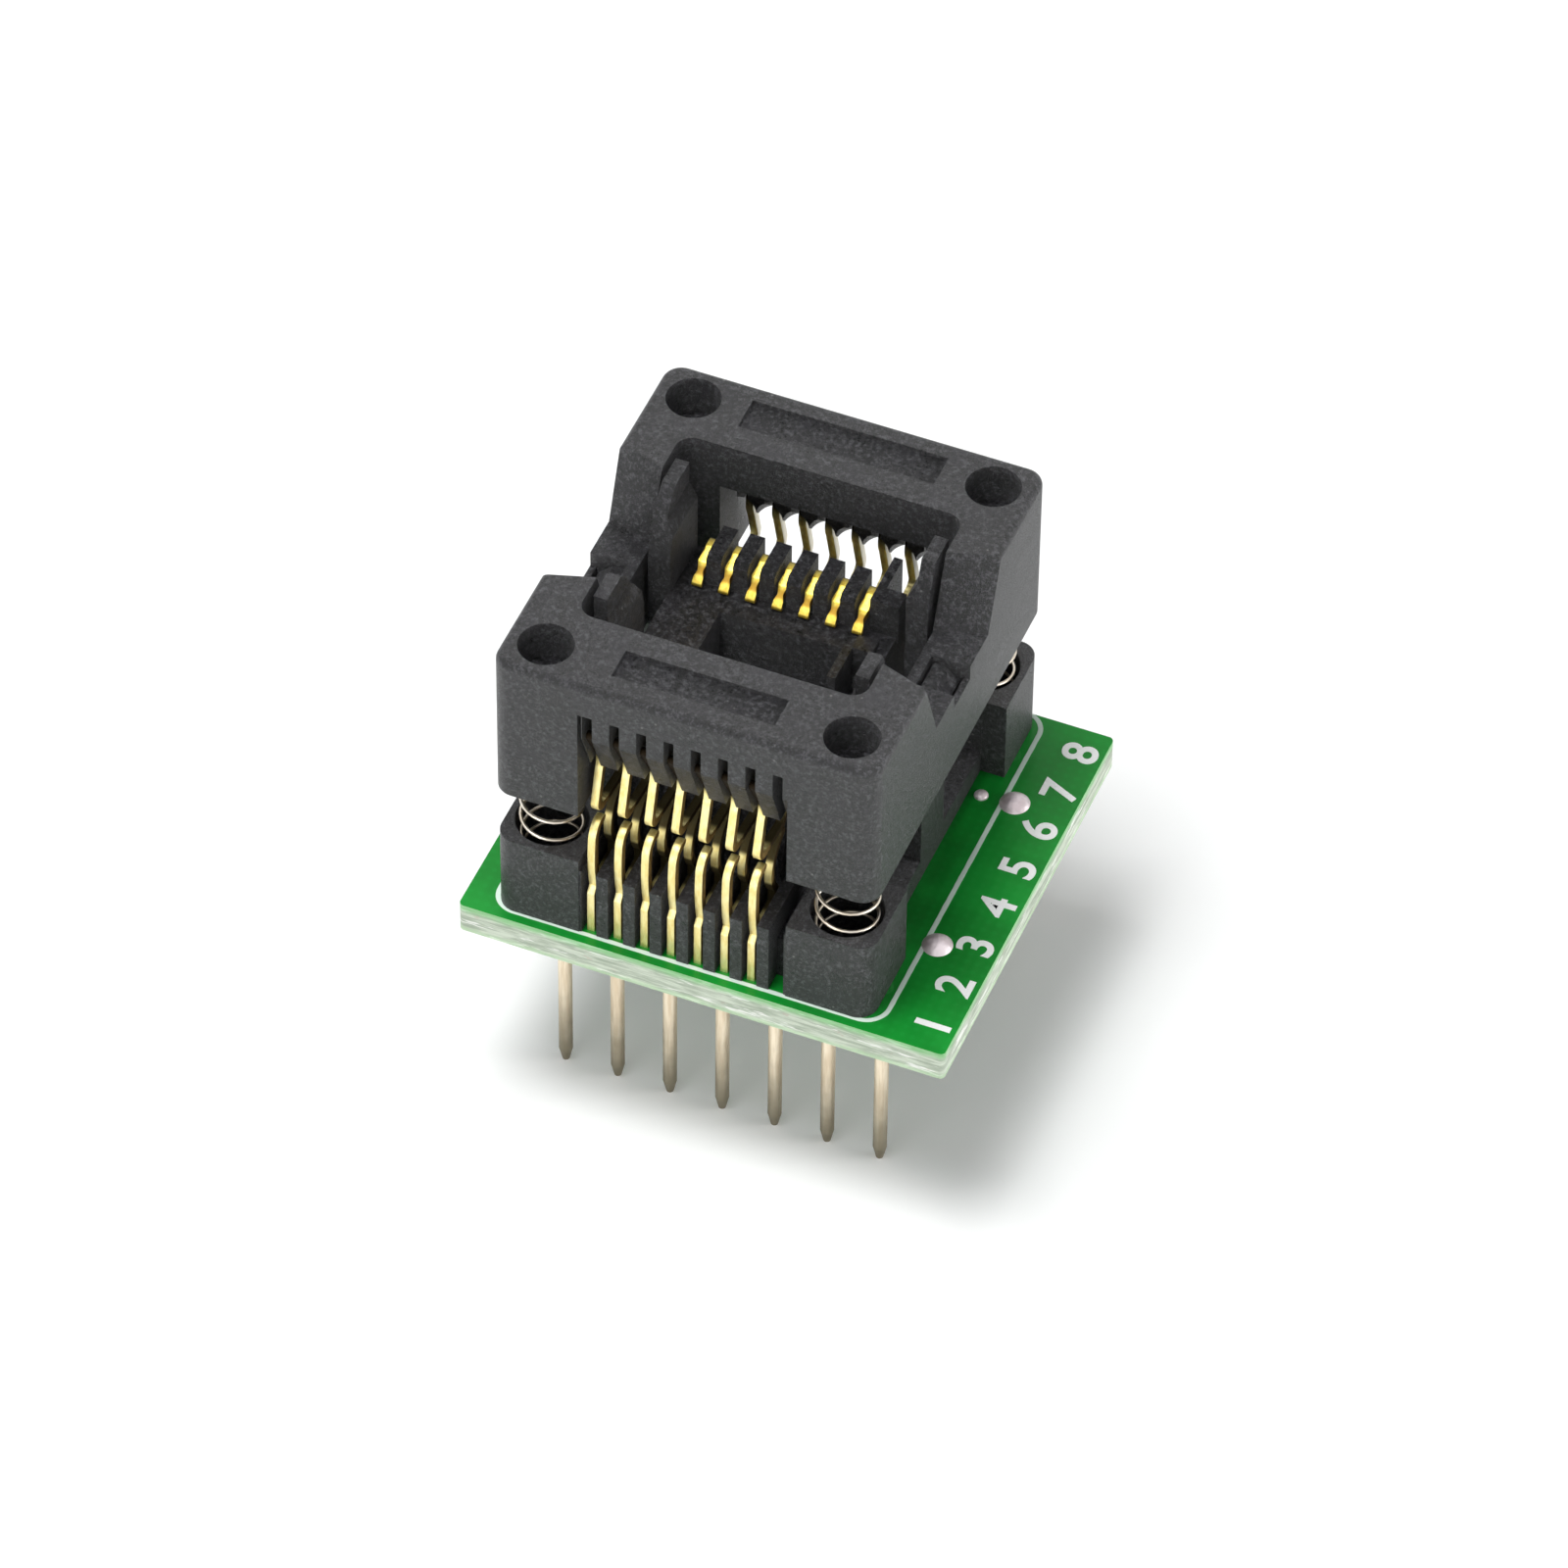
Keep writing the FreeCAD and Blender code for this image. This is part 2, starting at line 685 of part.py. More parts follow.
def make_saddle():
    """The dip in the right end wall, wider at its outer face than at the window."""
    wires = []
    for at_x, share in ((window_half - beyond, -beyond / end_wall), (end_x + beyond, 1 + beyond / end_wall)):
        half = saddle_inner_half + share * (saddle_outer_half - saddle_inner_half)
        floor_half = saddle_floor_inner_half + share * (saddle_floor_outer_half - saddle_floor_inner_half)
        points = [(half, cover_top + beyond), (half, cover_top), (floor_half, saddle_floor_z)]
        points += [(-y, z) for y, z in reversed(points)]
        corners = [Vector(at_x, y, z) for y, z in points]
        wires.append(Part.makePolygon(corners + corners[:1]))
    return Part.makeLoft(wires, True, True)


def make_hook_slots():
    """The shaft for each hook and the pocket over its nose, closed outside by a low lip."""
    half = hook_half_width + hook_play
    inner = hook_inner_x - hook_play
    lip_x = end_x - lip_thickness
    shaft = box(inner, hook_outer_x + hook_play, -half, half, cover_bottom - beyond, cover_top)
    pocket = box(inner, lip_x, -half, half, catch_top, cover_top)
    mouth = box(inner, end_x + beyond, -half, half, lip_top, cover_top)
    return both_ends(shaft) + both_ends(pocket) + both_ends(mouth)


os.makedirs("parts", exist_ok=True)

save(make_board(), "circuit_board", z=board_top)
save(make_pin_solder(), "pin_solder_joints", z=board_top)
save(make_tail_solder(), "contact_solder_joints", z=board_top)
save(make_edge_solder(), "edge_solder_joints", z=board_top)
for number, (x, y) in enumerate(pin_places()):
    row = "front" if y < 0 else "back"
    save(make_pin(x, y), "pin_%s_%d" % (row, number % pin_count + 1), z=board_top)

save_on_socket(make_base(), "socket_base")
save_on_socket(make_cover(), "socket_cover")

for index in range(contact_count):
    foot = make_contact_foot(place_of(index))
    arm = make_contact_arm(place_of(index))
    save_on_socket(foot, "contact_back_%d" % (index + 1))
    save_on_socket(front_of(foot), "contact_front_%d" % (index + 1))
    save_on_socket(arm, "contact_arm_back_%d" % (index + 1))
    save_on_socket(front_of(arm), "contact_arm_front_%d" % (index + 1))

for row, side_y in (("front", -1), ("back", 1)):
    for side, side_x in (("left", -1), ("right", 1)):
        spring = make_spring()
        spring.translate(Vector(side_x * spring_x, side_y * spring_y, 0))
        save_on_socket(spring, "spring_%s_%s" % (row, side))
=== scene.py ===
import math

import bmesh
import bpy
from mathutils import Matrix, Vector


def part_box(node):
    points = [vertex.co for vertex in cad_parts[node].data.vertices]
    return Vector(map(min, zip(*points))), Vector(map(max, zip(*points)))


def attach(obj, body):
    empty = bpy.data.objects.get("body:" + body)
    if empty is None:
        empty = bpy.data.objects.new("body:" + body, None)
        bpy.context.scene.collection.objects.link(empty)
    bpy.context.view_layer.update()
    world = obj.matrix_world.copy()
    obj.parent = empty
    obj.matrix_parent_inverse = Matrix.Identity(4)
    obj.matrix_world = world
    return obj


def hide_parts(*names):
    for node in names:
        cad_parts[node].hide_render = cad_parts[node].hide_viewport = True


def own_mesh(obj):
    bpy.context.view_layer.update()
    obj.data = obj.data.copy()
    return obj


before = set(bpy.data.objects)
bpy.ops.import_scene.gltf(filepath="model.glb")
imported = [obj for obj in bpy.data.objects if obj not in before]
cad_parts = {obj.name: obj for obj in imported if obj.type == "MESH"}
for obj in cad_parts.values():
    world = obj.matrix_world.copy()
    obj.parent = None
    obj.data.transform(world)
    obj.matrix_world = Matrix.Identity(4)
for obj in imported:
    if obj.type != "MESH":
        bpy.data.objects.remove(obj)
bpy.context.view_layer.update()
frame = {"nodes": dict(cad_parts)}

MM = 0.001
SIDES = {"left": -1, "right": 1}
ROWS = {"front": -1, "back": 1}

# Levels and places, read from the frame
board_low, board_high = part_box("circuit_board")
cover_low, cover_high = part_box("socket_cover")
BOARD_TOP = board_high.z
SOCKET_X = (cover_low.x + cover_high.x) / 2
SOCKET_Y = (cover_low.y + cover_high.y) / 2

# How far sharp edges are rounded, on mouldings and on stamped contacts
MOULDED_EDGE = 0.00007
STAMPED_EDGE = 0.00006

# The printed outline round the socket: its middle, half sizes and corner radius
OUTLINE_X = SOCKET_X + 0.000135
OUTLINE_HALVES = (0.009285, 0.01007)
OUTLINE_CORNER = 0.0011

# The recess between the corner blocks at each end of the base: depth, half width, top above the board
RECESS_DEPTH = 0.00115
RECESS_HALF = 0.00592
RECESS_TOP = 0.0044

# A contact's tip: how far its waist lies from the socket's middle, and its widths at such distances,
# as shares of the strip's width
WAIST = 0.00262
TIP_WIDTHS = ((0.00190, 1.0), (0.00218, 1.3), (0.00240, 1.25), (WAIST, 0.72), (0.00280, 1.0), (0.00298, 1.35),
              (0.00318, 1.2), (0.00345, 0.9), (0.00380, 1.0))

# The springs: their places from the socket's middle, outer radius, wire radius and turns
SPRING_X = 0.007
SPRING_Y = 0.00805
SPRING_RADIUS = 0.00147
WIRE_RADIUS = 0.000085
SPRING_TURNS = 6.75

# Places of a Mix node's two inputs and of its result, for numbers and for colours
MIX_NUMBERS = (2, 3, 0)
MIX_COLOURS = (6, 7, 2)


class Number:
    """A number that varies over a surface. Sums, products and comparisons of it add Math nodes."""

    def __init__(self, finish, socket):
        self.finish = finish
        self.socket = socket

    def __add__(self, other):
        return self.finish.math("ADD", self, other)

    __radd__ = __add__

    def __sub__(self, other):
        return self.finish.math("SUBTRACT", self, other)

    def __rsub__(self, other):
        return self.finish.math("SUBTRACT", other, self)

    def __mul__(self, other):
        return self.finish.math("MULTIPLY", self, other)

    __rmul__ = __mul__

    def __abs__(self):
        return self.finish.math("ABSOLUTE", self)

    def __gt__(self, other):
        return self.finish.math("GREATER_THAN", self, other)


class Finish:
    """A material with one Principled shader. Its pieces are added by node, math, mix and noise."""

    def __init__(self, name):
        self.material = bpy.data.materials.new(name)
        self.material.use_nodes = True
        self.tree = self.material.node_tree
        self.tree.nodes.clear()
        self.shader = self.tree.nodes.new("ShaderNodeBsdfPrincipled")
        output = self.tree.nodes.new("ShaderNodeOutputMaterial")
        self.tree.links.new(self.shader.outputs[0], output.inputs["Surface"])
        place = self.tree.nodes.new("ShaderNodeTexCoord")
        self.place = place.outputs["Object"]
        self.facing = place.outputs["Normal"]

    def node(self, kind, settings=None, inputs=None):
        """Adds a node: first its settings, then the values or links of its inputs."""
        made = self.tree.nodes.new(kind)
        for key, value in (settings or {}).items():
            setattr(made, key, value)
        for key, value in (inputs or {}).items():
            self.put(made.inputs[key], value)
        return made

    def put(self, socket, value):
        if isinstance(value, Number):
            value = value.socket
        if isinstance(value, bpy.types.NodeSocket):
            self.tree.links.new(value, socket)
        else:
            socket.default_value = value

    def math(self, operation, *values):
        made = self.node("ShaderNodeMath", {"operation": operation}, dict(enumerate(values)))
        return Number(self, made.outputs[0])

    def axes(self, vector=None):
        """The three coordinates of a place on the piece, in metres."""
        parts = self.node("ShaderNodeSeparateXYZ", inputs={0: vector or self.place})
        return [Number(self, socket) for socket in parts.outputs]

    def stretched(self, scale):
        """Object coordinates, stretched by a scale along each axis."""
        return self.node("ShaderNodeMapping", inputs={"Vector": self.place, "Scale": scale}).outputs[0]

    def noise(self, size, detail=2.0, roughness=0.5, vector=None):
        """Noise whose patches are about size across, in metres."""
        made = self.node("ShaderNodeTexNoise", inputs={
            "Vector": vector or self.place, "Scale": 1 / size, "Detail": detail, "Roughness": roughness})
        return Number(self, made.outputs["Fac"])

    def cells(self, size):
        """How far a place lies from the nearest of many scattered points, as a share of size."""
        made = self.node("ShaderNodeTexVoronoi", {"feature": "F1"}, {"Vector": self.place, "Scale": 1 / size})
        return Number(self, made.outputs["Distance"])

    def bands(self, direction):
        """Fine bands across one axis, as the threads of woven fibre lie."""
        made = self.node("ShaderNodeTexWave", {"wave_type": "BANDS", "bands_direction": direction}, {
            "Vector": self.place, "Scale": 620.0, "Distortion": 1.0})
        return Number(self, made.outputs["Fac"])

    def step(self, value, low, high):
        """0 below low and 1 above high, smooth between them."""
        made = self.node("ShaderNodeMapRange", {"interpolation_type": "SMOOTHSTEP"}, {
            "Value": value, "From Min": low, "From Max": high})
        return Number(self, made.outputs["Result"])

    def mix(self, factor, first, second):
        """One of two colours, or between them, as the factor goes from 0 to 1."""
        first_input, second_input, result = MIX_COLOURS
        made = self.node("ShaderNodeMix", {"data_type": "RGBA"}, {
            "Factor": factor, first_input: first, second_input: second})
        return made.outputs[result]

    def bump(self, height, depth, strength=1.0, under=None):
        """A bump of that depth in metres, over another one if there is one."""
        inputs = {"Height": height, "Distance": depth, "Strength": strength}
        if under is not None:
            inputs["Normal"] = under
        return self.node("ShaderNodeBump", inputs=inputs).outputs[0]

    def set(self, **inputs):
        for key, value in inputs.items():
            self.put(self.shader.inputs[key.replace("_", " ")], value)
        return self.material


def moulded_plastic():
    """Glass-filled black plastic: a coarse grain with painted glints, pale dust and faint flow marks."""
    finish = Finish("moulded_plastic")
    grain = finish.noise(0.00024, 5, 0.9)
    patches = finish.noise(0.0016, 3, 0.55)
    flow = finish.noise(0.0009, 3, 0.6, finish.stretched((1.0, 0.35, 1.0)))
    # Painted glints: small bright specks in the colour that stand in for highlights on the grain.
    painted_glint = finish.step(finish.cells(0.0002), 0.22, 0.1) * finish.step(grain, 0.48, 0.6)
    dust = finish.step(finish.cells(0.0013), 0.06, 0.03)
    base = finish.mix(finish.step(grain, 0.49, 0.61), (0.001, 0.001, 0.0015, 1), (0.105, 0.105, 0.116, 1))
    base = finish.mix(finish.step(patches, 0.45, 0.72) * 0.3, base, (0.02, 0.018, 0.026, 1))
    base = finish.mix(painted_glint * 0.6, base, (0.2, 0.2, 0.21, 1))
    base = finish.mix(dust * 0.45, base, (0.4, 0.39, 0.38, 1))
    rough = 0.35 + (grain - 0.5) * 0.6 + (flow - 0.5) * 0.14
    normal = finish.bump(grain, 0.00022, 1.0)
    normal = finish.bump(flow, 0.00008, 0.3, normal)
    finish.set(IOR=1.62)
    return finish.set(Base_Color=base, Roughness=rough, Normal=normal)


def rounded_frame(finish, x, y, half_x, half_y, radius):
    """How far a place lies from the outline of a rounded rectangle, in metres."""
    past_x = abs(x) - (half_x - radius)
    past_y = abs(y) - (half_y - radius)
    across = finish.math("MAXIMUM", past_x, 0)
    along = finish.math("MAXIMUM", past_y, 0)
    corner = finish.math("SQRT", across * across + along * along)
    inside = finish.math("MINIMUM", finish.math("MAXIMUM", past_x, past_y), 0)
    return abs(corner + inside - radius)


def solder_mask_board():
    """Green mask over glass fibre, with a printed outline round the socket and bare cut edges."""
    finish = Finish("solder_mask_board")
    x, y, z = finish.axes()
    level = abs(finish.axes(finish.facing)[2])
    face = finish.step(level, 0.5, 0.6)
    weave = finish.bands("X") * 0.5 + finish.bands("Y") * 0.5
    cloud = finish.noise(0.004, 3)
    mask = finish.mix(finish.step(cloud, 0.35, 0.7), (0.002, 0.21, 0.018, 1), (0.005, 0.30, 0.03, 1))
    mask = finish.mix(finish.step(weave, 0.55, 0.95) * 0.12, mask, (0.01, 0.38, 0.055, 1))
    outline = rounded_frame(finish, x - OUTLINE_X, y - SOCKET_Y, *OUTLINE_HALVES, OUTLINE_CORNER)
    uneven = finish.noise(0.0006, 2) * 0.00004
    ink = finish.step(outline + uneven, 0.000145, 0.000115)
    under = finish.step(z, BOARD_TOP - 0.0008, BOARD_TOP - 0.001)
    mask = finish.mix(under, mask, (0.004, 0.09, 0.02, 1))
    top = finish.mix(ink * (z > BOARD_TOP - 0.0003), mask, (0.72, 0.88, 0.77, 1))
    layers = finish.noise(0.00035, 4, 0.6, finish.stretched((0.2, 0.2, 2.0)))
    fibre = finish.mix(finish.step(layers, 0.35, 0.65), (0.38, 0.45, 0.35, 1), (0.66, 0.73, 0.61, 1))
    streaks = finish.noise(0.0005, 3, 0.7, finish.stretched((0.22, 0.22, 1.7)))
    fibre = finish.mix(finish.step(streaks, 0.55, 0.64) * 0.85, fibre, (0.93, 0.95, 0.9, 1))
    flecks = finish.noise(0.0007, 3, 0.7, finish.stretched((0.6, 0.6, 1.4)))
    fibre = finish.mix(finish.step(flecks, 0.62, 0.7) * 0.35, fibre, (0.5, 0.38, 0.32, 1))
    ragged = (finish.noise(0.0006, 3) - 0.5) * 0.0003
    rim = finish.step(z + ragged, BOARD_TOP - 0.00055, BOARD_TOP - 0.00008)
    fibre = finish.mix(rim * 0.7, fibre, (0.2, 0.6, 0.2, 1))
    lower_rim = finish.step(z + ragged, board_low.z + 0.0004, board_low.z + 0.00008)
    fibre = finish.mix(lower_rim * 0.5, fibre, (0.55, 0.8, 0.48, 1))
    colour = finish.mix(face, fibre, top)
    rough = face * (0.3 + weave * 0.05 + ink * 0.25) + (1 - face) * (0.65 + layers * 0.2)
    normal = finish.bump(weave * face, 0.00001, 0.35)
    normal = finish.bump(ink * face, 0.00002, 0.6, normal)
    normal = finish.bump(layers * (1 - face), 0.00005, 0.6, normal)
    finish.set(Specular_IOR_Level=0.3)
    return finish.set(Base_Color=colour, Roughness=rough, Normal=normal)


def gilt_contact():
    """Thin gold over stamped bronze, pale on the cut edges, with painted shade: brown on the flat sides, dark
    inside.
    """
    finish = Finish("gilt_contact")
    y, z = finish.axes()[1:]
    depth = abs(y - SOCKET_Y)
    height = z - BOARD_TOP
    flat = finish.step(abs(finish.axes(finish.facing)[0]), 0.6, 0.9)
    streaks = finish.noise(0.00014, 3, 0.6, finish.stretched((1.0, 1.0, 0.22)))
    stain = finish.noise(0.0009, 3)
    # Zones of the strip, by the distance from the socket's middle and the height above the board
    tip = finish.step(depth, 0.0044, 0.0038)
    middle_height = finish.step(height, 0.0042, 0.0045) * finish.step(height, 0.0058, 0.0055)
    pill = finish.step(depth, 0.0076, 0.0078) * middle_height
    # Where painted shade darkens the strip inside the socket, all but the tip and the pill.
    inside = finish.step(depth, 0.0084, 0.0079) * (1 - tip) * (1 - pill)
    # Painted shade where the strip rises under the cover.
    shade_under_cover = finish.step(height, 0.0097, 0.0103) * (1 - tip)
    edge = finish.mix(finish.step(streaks, 0.3, 0.7), (0.84, 0.68, 0.25, 1), (0.95, 0.85, 0.41, 1))
    edge = finish.mix(finish.step(stain, 0.5, 0.72) * 0.35, edge, (0.97, 0.92, 0.58, 1))
    waist = finish.step(abs(depth - WAIST), 0.00022, 0.00008)
    bright_tip = finish.mix(finish.step(streaks, 0.3, 0.7), (0.9, 0.6, 0.08, 1), (0.98, 0.82, 0.16, 1))
    bright_tip = finish.mix(waist * 0.75, bright_tip, (0.42, 0.2, 0.02, 1))
    edge = finish.mix(tip, edge, bright_tip)
    # Painted shade: the flat sides are painted brown, and darker still where stained.
    side = finish.mix(finish.step(streaks, 0.3, 0.7), (0.3, 0.17, 0.05, 1), (0.5, 0.32, 0.1, 1))
    side = finish.mix(finish.step(stain, 0.45, 0.7) * 0.6, side, (0.14, 0.08, 0.025, 1))
    # Painted light: the back levers seen through the window get pale cream flat sides and less metal, as if
    # brightly lit.
    painted_light_back_lever = finish.step(y - SOCKET_Y, 0.0074, 0.0079) * finish.step(height, 0.0064, 0.007)
    side = finish.mix(painted_light_back_lever, side, (0.97, 0.93, 0.8, 1))
    colour = finish.mix(flat * 0.9, edge, side)
    # Painted shade: near black inside the socket and where the strip runs under the cover.
    painted_shade = finish.math("MAXIMUM", inside * 0.93 * (1 - painted_light_back_lever), shade_under_cover)
    colour = finish.mix(painted_shade, colour, (0.018, 0.011, 0.004, 1))
    rough = 0.34 + streaks * 0.18 + flat * 0.08 + painted_shade * 0.25
    normal = finish.bump(streaks, 0.000012, 0.5)
    metal = 0.85 - painted_light_back_lever * flat * 0.75
    return finish.set(Base_Color=colour, Metallic=metal, Roughness=rough, Normal=normal)


def dull_pin():
    """Dull gilt pins: drawn along their length, with painted shade that makes them darker and greyer towards
    the tip.
    """
    finish = Finish("dull_pin")
    z = finish.axes()[2]
    drawn = finish.noise(0.0002, 3, 0.6, finish.stretched((1.0, 1.0, 0.08)))
    colour = finish.mix(finish.step(drawn, 0.3, 0.7), (0.70, 0.58, 0.42, 1), (0.90, 0.80, 0.63, 1))
    stain = finish.noise(0.001, 3)
    # Painted shade towards the tips, down in the shadow under the board; the noise named stain only makes the
    # shade's edge uneven.
    painted_shade = finish.step(z + (stain - 0.5) * 0.002, 0.0062, 0.0004)
    colour = finish.mix(painted_shade * 0.85, colour, (0.17, 0.155, 0.11, 1))
    rough = 0.36 + drawn * 0.15 + painted_shade * 0.1
    normal = finish.bump(drawn, 0.00001, 0.5)
    return finish.set(Base_Color=colour, Metallic=1.0, Roughness=rough, Normal=normal)


def spring_wire():
    """Drawn wire with a warm, slightly uneven tone."""
    finish = Finish("spring_wire")
    drawn = finish.noise(0.0001, 3)
    stain = finish.noise(0.0012, 2)
    colour = finish.mix(finish.step(stain, 0.4, 0.7), (0.70, 0.62, 0.50, 1), (0.88, 0.82, 0.72, 1))
    rough = 0.24 + drawn * 0.15
    return finish.set(Base_Color=colour, Metallic=1.0, Roughness=rough,
                      Normal=finish.bump(drawn, 0.000005, 0.4))


def solder_metal(name, masked):
    """Satin solder, faintly pink and frosted. A masked joint is green where it meets the board's top."""
    finish = Finish(name)
    frost = finish.noise(0.00022, 4, 0.65)
    blush = finish.noise(0.0008, 2)
    colour = finish.mix(finish.step(blush, 0.4, 0.65), (0.66, 0.56, 0.58, 1), (0.92, 0.82, 0.85, 1))
    colour = finish.mix(finish.step(frost, 0.55, 0.75) * 0.4, colour, (0.97, 0.93, 0.95, 1))
    metal = 0.5
    if masked:
        green = finish.step(finish.axes()[2], BOARD_TOP - 0.0002, BOARD_TOP - 0.0001)
        colour = finish.mix(green, colour, (0.004, 0.25, 0.025, 1))
        metal = 0.5 - green * 0.5
    return finish.set(Base_Color=colour, Metallic=metal, Roughness=0.3 + frost * 0.25,
                      Normal=finish.bump(frost, 0.00005, 0.7))


def printed_ink():
    """White ink, a little mottled."""
    finish = Finish("printed_ink")
    mottle = finish.noise(0.00025, 3, 0.6)
    colour = finish.mix(finish.step(mottle, 0.3, 0.6), (0.93, 0.98, 0.94, 1), (0.99, 1.0, 0.99, 1))
    return finish.set(Base_Color=colour, Roughness=0.45 + mottle * 0.2,
                      Normal=finish.bump(mottle, 0.00001, 0.5))


PLASTIC = moulded_plastic()
BOARD = solder_mask_board()
GILT = gilt_contact()
PIN = dull_pin()
WIRE = spring_wire()
SOLDER = solder_metal("solder_metal", False)
JOINT = solder_metal("solder_joint", True)
INK = printed_ink()


def give(obj, material):
    obj.data.materials.clear()
    obj.data.materials.append(material)


def settle(obj, body, slot, *nodes):
    """A finished piece rides on its body and stands for its nodes; the slot is not used."""
    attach(obj, body)
    if nodes:
        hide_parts(*nodes)
    return obj


def add_mesh(name, mesh, material):
    obj = bpy.data.objects.new(name, mesh)
    bpy.context.scene.collection.objects.link(obj)
    give(obj, material)
    return obj


def baked(obj):
    """Turns an object with modifiers into a plain mesh with the same name."""
    evaluated = obj.evaluated_get(bpy.context.evaluated_depsgraph_get())
    mesh = bpy.data.meshes.new_from_object(evaluated)
    obj.modifiers.clear()
    obj.data = mesh
    return obj


def eased_copy(node, name, material, width):
    """A copy of a solid with its sharp edges rounded, as a mould or a stamp leaves them."""
    mesh = frame["nodes"][node].data.copy()
    work = bmesh.new()
    work.from_mesh(mesh)
    bmesh.ops.remove_doubles(work, verts=work.verts, dist=0.000001)
    bmesh.ops.dissolve_limit(work, angle_limit=math.radians(1.0), verts=work.verts, edges=work.edges)
    work.to_mesh(mesh)
    work.free()
    if "custom_normal" in mesh.attributes:
        mesh.attributes.remove(mesh.attributes["custom_normal"])
    obj = add_mesh(name, mesh, material)
    bevel = obj.modifiers.new("ease", "BEVEL")
    bevel.width = width
    bevel.segments = 2
    bevel.limit_method = "ANGLE"
    bevel.angle_limit = math.radians(32)
    bevel.use_clamp_overlap = True
    bevel.harden_normals = False
    baked(obj)
    obj.data.shade_smooth()
    obj.data.set_sharp_from_angle(angle=math.radians(50))
    return obj


def add_box(name, low, high, material):
    """A box between two opposite corners."""
    work = bmesh.new()
    bmesh.ops.create_cube(work, size=1)
    middle, size = (low + high) / 2, high - low
    work.transform(Matrix.Translation(middle) @ Matrix.Diagonal((size.x, size.y, size.z, 1)))
    mesh = bpy.data.meshes.new(name)
    work.to_mesh(mesh)
    work.free()
    return add_mesh(name, mesh, material)


def cut_side_recesses(obj):
    """Opens both ends of the base between the corner blocks, so that the board shows there."""
    beyond = 0.001
    low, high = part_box("socket_base")
    for face_x, side in ((low.x, -1), (high.x, 1)):
        inner = face_x - side * RECESS_DEPTH
        outer = face_x + side * beyond
        lowest = Vector((min(inner, outer), SOCKET_Y - RECESS_HALF, BOARD_TOP - beyond))
        highest = Vector((max(inner, outer), SOCKET_Y + RECESS_HALF, BOARD_TOP + RECESS_TOP))
        cutter = add_box("cutter", lowest, highest, PLASTIC)
        cut = obj.modifiers.new("recess", "BOOLEAN")
        cut.operation = "DIFFERENCE"
        cut.solver = "EXACT"
        cut.object = cutter
        baked(obj)
        bpy.data.objects.remove(cutter)


def make_mouldings():
    """The cover and the base, with eased edges."""
    cover = eased_copy("socket_cover", "cover_moulding", PLASTIC, MOULDED_EDGE)
    settle(cover, "cover", "black_plastic", "socket_cover")
    base = eased_copy("socket_base", "base_moulding", PLASTIC, MOULDED_EDGE)
    cut_side_recesses(base)
    settle(base, "board_and_base", "black_plastic", "socket_base")


def width_at(depth):
    """The tip's width at a distance from the socket's middle, as a share of the strip's."""
    for (near, first), (far, second) in zip(TIP_WIDTHS, TIP_WIDTHS[1:]):
        if near <= depth <= far:
            return first + (second - first) * (depth - near) / (far - near)
    return 1.0


def shape_tip(obj, row):
    """Gives a contact's tip its round pad, waist and foot."""
    work = bmesh.new()
    work.from_mesh(obj.data)
    for depth, width in TIP_WIDTHS:
        bmesh.ops.bisect_plane(work, geom=work.verts[:] + work.edges[:] + work.faces[:], dist=0.0000001,
                               plane_co=(0, SOCKET_Y + ROWS[row] * depth, 0), plane_no=(0, 1, 0))
    low, high = min(vert.co.x for vert in work.verts), max(vert.co.x for vert in work.verts)
    middle = (low + high) / 2
    for vert in work.verts:
        vert.co.x = middle + (vert.co.x - middle) * width_at(abs(vert.co.y - SOCKET_Y))
    work.to_mesh(obj.data)
    work.free()


def make_contacts():
    """Fourteen contacts, each a fixed foot and an arm with a shaped tip; each row's arms ride on a body of
    their own.
    """
    for row in ROWS:
        for number in range(1, 8):
            foot = "contact_%s_%d" % (row, number)
            arm = "contact_arm_%s_%d" % (row, number)
            settle(eased_copy(foot, "foot_%s_%d" % (row, number), GILT, STAMPED_EDGE), "board_and_base",
                   "gold_contact", foot)
            bent = eased_copy(arm, "arm_%s_%d" % (row, number), GILT, STAMPED_EDGE)
            shape_tip(bent, row)
            settle(bent, row + "_contact_arms", "gold_contact", arm)


